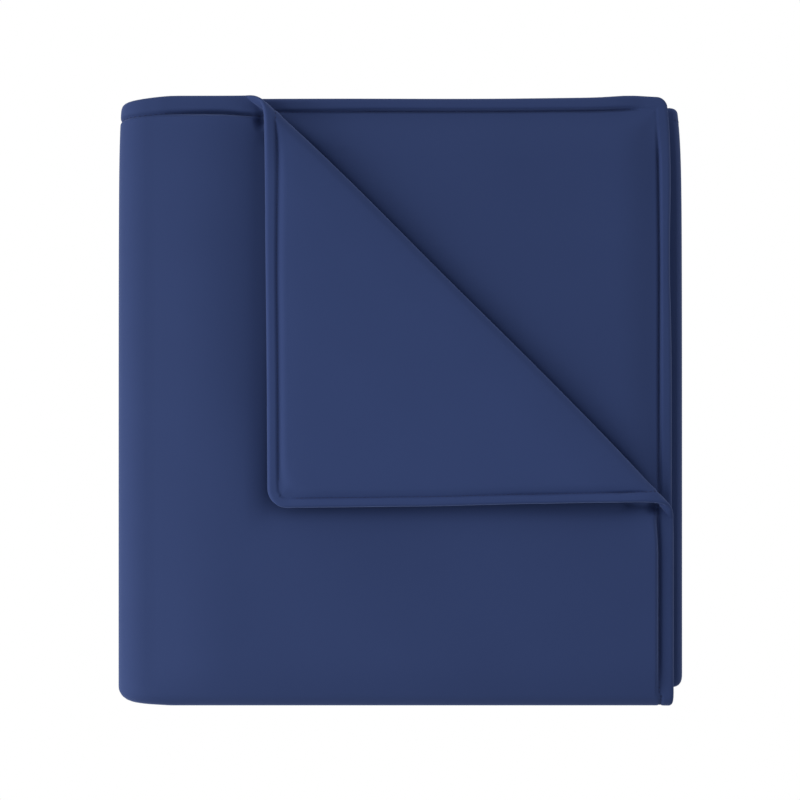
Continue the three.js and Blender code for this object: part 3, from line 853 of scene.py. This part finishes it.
# %% Flat mesh
grid_u, grid_v = np.meshgrid(us, vs, indexing="ij")
columns = len(vs)
first = np.arange((len(us) - 1) * columns).reshape(-1, columns)[:, :-1].ravel()
quads = np.stack([first, first + columns, first + columns + 1, first + 1], axis=-1)
flat_points = np.stack([grid_u.ravel(), grid_v.ravel(), np.zeros(grid_u.size)], axis=-1) * MM

flat_mesh = bpy.data.meshes.new("flat_cloth")
flat_mesh.from_pydata(flat_points.tolist(), [], quads.tolist())
cloth = bmesh.new()
cloth.from_mesh(flat_mesh)
bpy.data.meshes.remove(flat_mesh)
print("flat cloth:", len(cloth.verts), "points")

# %% [markdown]
# The crease runs slantwise over the grid. `bmesh.ops.bisect_plane` cuts extra rows along
# it on the top layer, so that the roll has straight edges of its own, and on the second
# layer, so that the foot of the crease is crisp. Only the cells that a line crosses are
# handed over, because a cut through the whole cloth would be slow.


# %% Cut along the crease
def crosses(face, way, line):
    reach = [way[0] * p.co.x + way[1] * p.co.y for p in face.verts]
    return min(reach) < line < max(reach)


def inside(face, patch):
    return all(low < place < high for place, (low, high) in zip(face.verts[0].co, patch))


def cut_along(way, line, patch=None):
    near = [f for f in cloth.faces if (not patch or inside(f, patch)) and crosses(f, way, line)]
    parts = [*near]
    for face in near:
        parts += [*face.edges, *face.verts]
    spot = [part * line / (way[0] ** 2 + way[1] ** 2) for part in way]
    bmesh.ops.bisect_plane(
        cloth,
        geom=list(dict.fromkeys(parts)),
        dist=TINY,
        plane_co=(*spot, 0),
        plane_no=(*way, 0),
    )


BEND_ROWS = np.arange(-10.0, 10.1, 1.0)
FOOT_ROWS = (-6.0, -3.0, -0.5, 1.0, 3.0, 6.0, 10.0, 15.0)
for past in BEND_ROWS:
    cut_along((1, 1), (LEG - past / SLANT) * MM)
for past in FOOT_ROWS:
    cut_along((1, -1), (LEG - FLAT_LENGTH - past / SLANT) * MM)
print("with rows along the crease:", len(cloth.verts), "points")

# %% [markdown]
# The pockets are only some ten millimetres wide, so the cloth gets rows 2 mm apart round
# both ends of the crease, on the top layer and on the second.

# %% Cut round the pockets
AT_END = np.array([385.0, 425.0]) * MM
AT_HEM = np.array([6.0, 40.0]) * MM
AT_FAR_END = FLAT_LENGTH * MM - AT_END[::-1]
AT_FAR_HEM = FLAT_LENGTH * MM - AT_HEM[::-1]
POCKET_ROWS = np.arange(-8.0, 20.0, 2.0)
for row in POCKET_ROWS:
    line = (LEG + row) * MM
    cut_along((1, 0), line, (AT_END, AT_HEM))
    cut_along((1, 0), line, (AT_END, AT_FAR_HEM))
    cut_along((0, 1), line, (AT_HEM, AT_END))
    cut_along((0, 1), FLAT_LENGTH * MM - line, (AT_HEM, AT_FAR_END))
bmesh.ops.triangulate(cloth, faces=[f for f in cloth.faces if len(f.verts) > 4])
cloth.verts.index_update()
print("with rows round the pockets:", len(cloth.verts), "points,", len(cloth.faces), "cells")

# %% Read the flat cloth
flat = np.array([p.co[:2] for p in cloth.verts]) / MM
cells = [[p.index for p in f.verts] for f in cloth.faces]
border = []
for side in cloth.edges:
    if side.is_boundary:
        corner = side.link_loops[0]
        border.append((corner.vert.index, corner.link_loop_next.vert.index))
cloth.free()
print("border:", len(border), "edges")

# %% [markdown]
# ## Joining the faces
#
# The real cloth is turned right side out and closed at the lip. Solidify could thicken one
# sheet, but here each face has a rise of its own. So both faces get the same cells, the
# inner one turned over, and a row of quads closes the lip.

# %% Make the comforter
outer, inner = lay(flat[:, 0], flat[:, 1])
count = len(flat)
points = to_frame(np.concatenate([outer, inner]))
faces = cells + [[i + count for i in reversed(cell)] for cell in cells]
faces += [[b, a, a + count, b + count] for a, b in border]
mesh = bpy.data.meshes.new("comforter_cloth")
mesh.from_pydata(points.tolist(), [], faces)
mesh.update()
mesh.polygons.foreach_set("use_smooth", np.ones(len(mesh.polygons), dtype=bool))
comforter = bpy.data.objects.new("comforter_cloth", mesh)
bpy.context.scene.collection.objects.link(comforter)
print("comforter:", len(mesh.vertices), "points,", len(mesh.polygons), "faces")

# %% [markdown]
# The flat position is kept as a UV map, so that the weave follows the cloth through every
# fold. An attribute marks the face of the turned-back corner, where the weave lies the other
# way. There the colour is painted lighter: painted sheen, for the brighter sheen of that face.

# %% UV map and turned-back face
# Mask of the turned-back face, which carries the painted sheen.
PAINTED_SHEEN_FADE = 20.0
corner_points = np.zeros(len(mesh.loops), dtype=np.int32)
mesh.loops.foreach_get("vertex_index", corner_points)
uv = mesh.uv_layers.new(name="flat")
uv.data.foreach_set("uv", (flat[corner_points % count] * MM).ravel())
turned = np.zeros(2 * count, dtype=np.float32)
turned[count:] = ramp(past_crease(*flat.T), 0.0, PAINTED_SHEEN_FADE) * on_top(*flat.T)
mesh.attributes.new("turned", "FLOAT", "POINT").data.foreach_set("value", turned)
print("points of the turned-back face:", int((turned > 0).sum()))

# %% [markdown]
# ## Cloth
#
# The cloth is a smooth, fine navy weave. Threads could be modelled one by one, but at this
# distance they are far below a pixel. So the colour wanders a little, a very fine bump
# stands for the weave, and a bluish sheen brightens the cloth where it turns away, as fine
# fibres do. The sheen is set on the shader's own sockets, because it is the same all over.

# %% Cloth finish
CLOTH = {
    "Roughness": 0.8,
    "Specular IOR Level": 0.2,
    "Sheen Weight": 0.45,
    "Sheen Roughness": 0.35,
    "Sheen Tint": (0.42, 0.55, 1.0, 1.0),
}


def set_inputs(node, values):
    for socket, value in values.items():
        node.inputs[socket].default_value = value


def new_material(name, finish):
    material = bpy.data.materials.new(name)
    material.use_nodes = True
    shader = material.node_tree.nodes["Principled BSDF"]
    set_inputs(shader, finish)
    return material, material.node_tree, shader


navy, tree, shader = new_material("navy_cloth", CLOTH)
mesh.materials.append(navy)
print("cloth finish:", ", ".join(CLOTH))

# %% [markdown]
# Every node tree below is built the same way, so two helpers add nodes and link sockets.
# The colour is two close navies mixed by soft noise, with painted sheen that makes the
# turned-back face lighter.


# %% Colour of the cloth
def add_node(tree, kind, values=None, **settings):
    node = tree.nodes.new(kind)
    for name, setting in settings.items():
        setattr(node, name, setting)
    set_inputs(node, values or {})
    return node


def join(tree, *pairs):
    for source, target in pairs:
        tree.links.new(source, target)


MIX_SHARE, MIX_A, MIX_B, MIX_COLOUR = 0, 6, 7, 2
NAVY = {MIX_A: (0.0270, 0.0480, 0.145, 1.0), MIX_B: (0.0300, 0.0530, 0.158, 1.0)}
# Painted sheen: the turned-back face's colour is made lighter, in place of its brighter sheen.
PAINTED_SHEEN_TINT = {MIX_B: (1.1, 1.1, 1.1, 1.0)}
PATCHES = {"Scale": 9.0, "Detail": 2.0}

place = add_node(tree, "ShaderNodeUVMap", uv_map="flat")
patches = add_node(tree, "ShaderNodeTexNoise", PATCHES)
shade = add_node(tree, "ShaderNodeMix", NAVY, data_type="RGBA")
# Reads the mask of the turned-back face for the painted sheen.
painted_sheen_mask = add_node(tree, "ShaderNodeAttribute", attribute_name="turned")
painted_sheen = add_node(tree, "ShaderNodeMix", PAINTED_SHEEN_TINT, data_type="RGBA", blend_type="MULTIPLY")
join(
    tree,
    (place.outputs["UV"], patches.inputs["Vector"]),
    (patches.outputs["Fac"], shade.inputs[MIX_SHARE]),
    (painted_sheen_mask.outputs["Fac"], painted_sheen.inputs[MIX_SHARE]),
    (shade.outputs[MIX_COLOUR], painted_sheen.inputs[MIX_A]),
    (painted_sheen.outputs[MIX_COLOUR], shader.inputs["Base Color"]),
)
print("cloth colours:", *NAVY.values())

# %% Weave of the cloth
WEAVE = {"Scale": 1400.0}
RELIEF = {"Strength": 0.08, "Distance": 0.0003}

weave = add_node(tree, "ShaderNodeTexNoise", WEAVE)
relief = add_node(tree, "ShaderNodeBump", RELIEF)
join(
    tree,
    (place.outputs["UV"], weave.inputs["Vector"]),
    (weave.outputs["Fac"], relief.inputs["Height"]),
    (relief.outputs["Normal"], shader.inputs["Normal"]),
)
print("cloth nodes:", len(tree.nodes))

# %% [markdown]
# ## Stitches
#
# One row of stitches holds the hem. Its thread is darker than the cloth: painted shade that
# darkens the seam's groove. A texture could paint it, but a seam catches the light, so each
# stitch is a small drawn-out ball. Thousands of equal things are a job for Geometry Nodes.
# The next two cells find the places: a mesh of bare points, and for each which way the row
# runs and which way is out of the cloth.

# %% Seam rows
STITCH_PITCH = 4.0
HIDDEN_STITCHES = {"second": 0.4, "flap": 0.5}


def seam_row(from_u, from_v, to_u, to_v):
    stitches = round((abs(to_u - from_u) + abs(to_v - from_v)) / STITCH_PITCH)
    t = (np.arange(stitches) + 0.5) / stitches
    u, v = from_u + (to_u - from_u) * t, from_v + (to_v - from_v) * t
    shows = second_corner(u, v) < HIDDEN_STITCHES["second"]
    shows = shows & (flap_corner(u, v) < HIDDEN_STITCHES["flap"])
    return u[shows], v[shows]


far_u, far_v = FLAT_WIDTH - HEM_WIDTH, FLAT_LENGTH - HEM_WIDTH
corners = [(HEM_WIDTH, HEM_WIDTH), (far_u, HEM_WIDTH), (far_u, far_v), (HEM_WIDTH, far_v)]
sides = list(zip(corners, corners[1:] + corners[:1]))
print("rows of", [len(seam_row(*start, *end)[0]) for start, end in sides], "stitches on each face")

# %% Stitch places
LEAST_HEIGHT = 0.7 * MM

places, ways, outs = [], [], []
for start, end in sides:
    u, v = seam_row(*start, *end)
    step_u, step_v = np.sign(np.subtract(end, start))
    outer_row, inner_row = lay(u, v)
    ahead, behind = lay(u + step_u, v + step_v), lay(u - step_u, v - step_v)
    thick = outer_row - inner_row
    for k, row, out in ((0, outer_row, thick), (1, inner_row, -thick)):
        places.append(row)
        ways.append(ahead[k] - behind[k])
        outs.append(out)
places = to_frame(np.concatenate(places))
places[:, 2] = np.maximum(places[:, 2], LEAST_HEIGHT)
seam_points = bpy.data.meshes.new("seam_points")
seam_points.from_pydata(places.tolist(), [], [])
for name, vectors in (("along", ways), ("out", outs)):
    vectors = np.concatenate(vectors)
    vectors = vectors / np.linalg.norm(vectors, axis=1, keepdims=True)
    directions = seam_points.attributes.new(name, "FLOAT_VECTOR", "POINT")
    directions.data.foreach_set("vector", vectors.astype(np.float32).ravel())
print("stitches:", len(places))

# %% [markdown]
# The tree has three inputs: the stitch's length, the thread's width and a seed. One stitch
# is a ball with few faces, stretched to those sizes.

# %% One stitch
STITCH_INPUTS = {
    "Stitch Length": "NodeSocketFloat",
    "Thread Width": "NodeSocketFloat",
    "Seed": "NodeSocketInt",
}
BALL = {"Segments": 6, "Rings": 4, "Radius": 0.5}


def add_inputs(tree):
    face = tree.interface
    face.new_socket("Geometry", in_out="INPUT", socket_type="NodeSocketGeometry")
    made = {}
    for name, kind in STITCH_INPUTS.items():
        made[name] = face.new_socket(name, in_out="INPUT", socket_type=kind)
    face.new_socket("Geometry", in_out="OUTPUT", socket_type="NodeSocketGeometry")
    return made


def one_stitch(tree, start):
    ball = add_node(tree, "GeometryNodeMeshUVSphere", BALL)
    size = add_node(tree, "ShaderNodeCombineXYZ")
    shape = add_node(tree, "GeometryNodeTransform")
    join(
        tree,
        (start.outputs["Stitch Length"], size.inputs["X"]),
        (start.outputs["Thread Width"], size.inputs["Y"]),
        (start.outputs["Thread Width"], size.inputs["Z"]),
        (ball.outputs["Mesh"], shape.inputs["Geometry"]),
        (size.outputs["Vector"], shape.inputs["Scale"]),
    )
    return shape.outputs["Geometry"]


print("inputs of the stitch tree:", ", ".join(STITCH_INPUTS))

# %% [markdown]
# Each stitch is turned so that its X axis follows the row, then about that axis so that
# its Z axis points out of the cloth. Its size varies a little with the seed. The tree ends
# in Realize Instances and Set Material, because an export keeps meshes, not instances.

# %% Stitch tree
TURNS = (("along", "X", "AUTO"), ("out", "Z", "X"))
RANDOM_LOW, RANDOM_HIGH, RANDOM_VALUE = 2, 3, 1
SIZE_RANGE = {RANDOM_LOW: 0.92, RANDOM_HIGH: 1.08}
# The thread's dark navy is painted shade for the seam's groove.
THREAD_SEAM_SHADE = {"Base Color": (0.010, 0.022, 0.095, 1.0), "Roughness": 0.7}


def turn_to_row(tree):
    turned = None
    for name, axis, pivot in TURNS:
        vector = add_node(
            tree, "GeometryNodeInputNamedAttribute", {"Name": name}, data_type="FLOAT_VECTOR"
        )
        turn = add_node(tree, "FunctionNodeAlignRotationToVector", axis=axis, pivot_axis=pivot)
        tree.links.new(vector.outputs["Attribute"], turn.inputs["Vector"])
        if turned:
            tree.links.new(turned, turn.inputs["Rotation"])
        turned = turn.outputs["Rotation"]
    return turned


def stitch_tree(material):
    tree = bpy.data.node_groups.new("stitch_row", "GeometryNodeTree")
    inputs = add_inputs(tree)
    start = add_node(tree, "NodeGroupInput")
    vary = add_node(tree, "FunctionNodeRandomValue", SIZE_RANGE, data_type="FLOAT")
    put = add_node(tree, "GeometryNodeInstanceOnPoints")
    real = add_node(tree, "GeometryNodeRealizeInstances")
    paint = add_node(tree, "GeometryNodeSetMaterial", {"Material": material})
    end = add_node(tree, "NodeGroupOutput")
    join(
        tree,
        (start.outputs["Seed"], vary.inputs["Seed"]),
        (start.outputs["Geometry"], put.inputs["Points"]),
        (one_stitch(tree, start), put.inputs["Instance"]),
        (turn_to_row(tree), put.inputs["Rotation"]),
        (vary.outputs[RANDOM_VALUE], put.inputs["Scale"]),
        (put.outputs["Instances"], real.inputs["Geometry"]),
        (real.outputs["Geometry"], paint.inputs["Geometry"]),
        (paint.outputs["Geometry"], end.inputs["Geometry"]),
    )
    return tree, inputs


thread_seam_shade, _, _ = new_material("navy_thread_seam_shade", THREAD_SEAM_SHADE)
row_tree, row_inputs = stitch_tree(thread_seam_shade)
print("stitch tree:", len(row_tree.nodes), "nodes")

# %% [markdown]
# The inputs are set by their sockets' identifiers before the first evaluation. Then the
# evaluated mesh replaces the points, and the modifier goes.

# %% Sew the hem
# The wide thread spreads its painted shade over the seam's groove.
STITCH = {"Stitch Length": 3.8 * MM, "Thread Width": 1.1 * MM, "Seed": 7}

stitching = bpy.data.objects.new("hem_stitching", seam_points)
bpy.context.scene.collection.objects.link(stitching)
sewing = stitching.modifiers.new("stitches", "NODES")
sewing.node_group = row_tree
for name, value in STITCH.items():
    sewing[row_inputs[name].identifier] = value
evaluated = stitching.evaluated_get(bpy.context.evaluated_depsgraph_get())
sewn = bpy.data.meshes.new_from_object(evaluated)
stitching.modifiers.remove(sewing)
stitching.data = sewn
bpy.data.meshes.remove(seam_points)
print("stitching:", len(sewn.polygons), "faces")

# %% [markdown]
# ## Studio
#
# The picture looks straight down on the stack. A new camera already looks down, so it only
# has to hang over the middle.

# %% Camera
SENSOR, LENS = 24.0, 50.0
CAMERA_PLACE = (-0.0037, 0.0009, 1.7364)
FAR_CLIP = 20.0

scene = bpy.context.scene
scene.view_settings.view_transform = "Standard"
camera_data = bpy.data.cameras.new("camera")
camera_data.sensor_width = SENSOR
camera_data.lens = LENS
camera_data.dof.use_dof = False
camera_data.clip_end = FAR_CLIP
camera = bpy.data.objects.new("camera", camera_data)
camera.location = CAMERA_PLACE
scene.collection.objects.link(camera)
scene.camera = camera
print("camera at", CAMERA_PLACE)

# %% [markdown]
# The light is a wide white sky, which gives the soft dark line beside each edge. It could
# be even, but it is brighter towards the top hem and the spine, so that the folds that
# look the other way are darker. The camera itself sees a second, plain white background.

# %% Sky
SKY_SLOPE = {1: (-0.33, 0.57, 0.0)}
SKY_STRENGTH = {1: 0.62, 2: 0.62}
WHITE = {"Color": (1.0, 1.0, 1.0, 1.0)}

world = bpy.data.worlds.new("studio")
world.use_nodes = True
sky = world.node_tree
light = sky.nodes["Background"]
set_inputs(light, WHITE)
direction = add_node(sky, "ShaderNodeTexCoord")
slope = add_node(sky, "ShaderNodeVectorMath", SKY_SLOPE, operation="DOT_PRODUCT")
strength = add_node(sky, "ShaderNodeMath", SKY_STRENGTH, operation="MULTIPLY_ADD")
backdrop = add_node(sky, "ShaderNodeBackground", WHITE)
ray = add_node(sky, "ShaderNodeLightPath")
pick = add_node(sky, "ShaderNodeMixShader")
join(
    sky,
    (direction.outputs["Generated"], slope.inputs[0]),
    (slope.outputs["Value"], strength.inputs[0]),
    (strength.outputs[0], light.inputs["Strength"]),
    (ray.outputs["Is Camera Ray"], pick.inputs[0]),
    (light.outputs[0], pick.inputs[1]),
    (backdrop.outputs[0], pick.inputs[2]),
    (pick.outputs[0], sky.nodes["World Output"].inputs["Surface"]),
)
scene.world = world
print("sky nodes:", len(sky.nodes))

# %% [markdown]
# A large lamp on the left brightens the spine, and a weak one on the right lights the
# strip of the lower fold.

# %% Lamps
MIDDLE_OF_STACK = (0.0, 0.0, 0.1)
LAMPS = {
    "left_softbox": {"location": (-1.9, -0.5, 0.8), "size": (1.8, 1.0), "power": 25.5},
    "right_fill": {"location": (1.9, 0.4, 0.22), "size": (1.2, 0.4), "power": 3.0},
}


def area_lamp(name, location, size, power):
    lamp_data = bpy.data.lights.new(name, "AREA")
    lamp_data.shape = "RECTANGLE"
    lamp_data.size, lamp_data.size_y = size
    lamp_data.energy = power
    lamp = bpy.data.objects.new(name, lamp_data)
    lamp.location = location
    away = lamp.location - Vector(MIDDLE_OF_STACK)
    lamp.rotation_mode = "QUATERNION"
    lamp.rotation_quaternion = away.to_track_quat("Z", "Y")
    scene.collection.objects.link(lamp)


for name, lamp in LAMPS.items():
    area_lamp(name, **lamp)
print("lamps:", ", ".join(LAMPS))

# %% [markdown]
# The floor is a plain sheet. Without it the sky would also shine up from below. It sends
# weaker light back at the cloth, while the camera sees it as white as the background.

# %% Floor
FLOOR_HALF = 4.0
FLOOR = {"Base Color": (0.4, 0.4, 0.4, 1.0), "Roughness": 1.0}

signs = ((-1, -1), (1, -1), (1, 1), (-1, 1))
floor_corners = [(x * FLOOR_HALF, y * FLOOR_HALF, 0.0) for x, y in signs]
floor_mesh = bpy.data.meshes.new("floor")
floor_mesh.from_pydata(floor_corners, [], [(0, 1, 2, 3)])
floor = bpy.data.objects.new("floor", floor_mesh)
scene.collection.objects.link(floor)
pale, tree, shader = new_material("pale_floor", FLOOR)
ray = add_node(tree, "ShaderNodeLightPath")
glow = add_node(tree, "ShaderNodeEmission")
blend = add_node(tree, "ShaderNodeMixShader")
join(
    tree,
    (ray.outputs["Is Camera Ray"], blend.inputs[0]),
    (shader.outputs[0], blend.inputs[1]),
    (glow.outputs[0], blend.inputs[2]),
    (blend.outputs[0], tree.nodes["Material Output"].inputs["Surface"]),
)
floor_mesh.materials.append(pale)
print("floor:", 2 * FLOOR_HALF, "m wide")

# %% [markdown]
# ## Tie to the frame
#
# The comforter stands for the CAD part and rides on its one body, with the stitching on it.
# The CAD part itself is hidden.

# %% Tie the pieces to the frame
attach(comforter, "root")
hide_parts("comforter")
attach(stitching, "root")
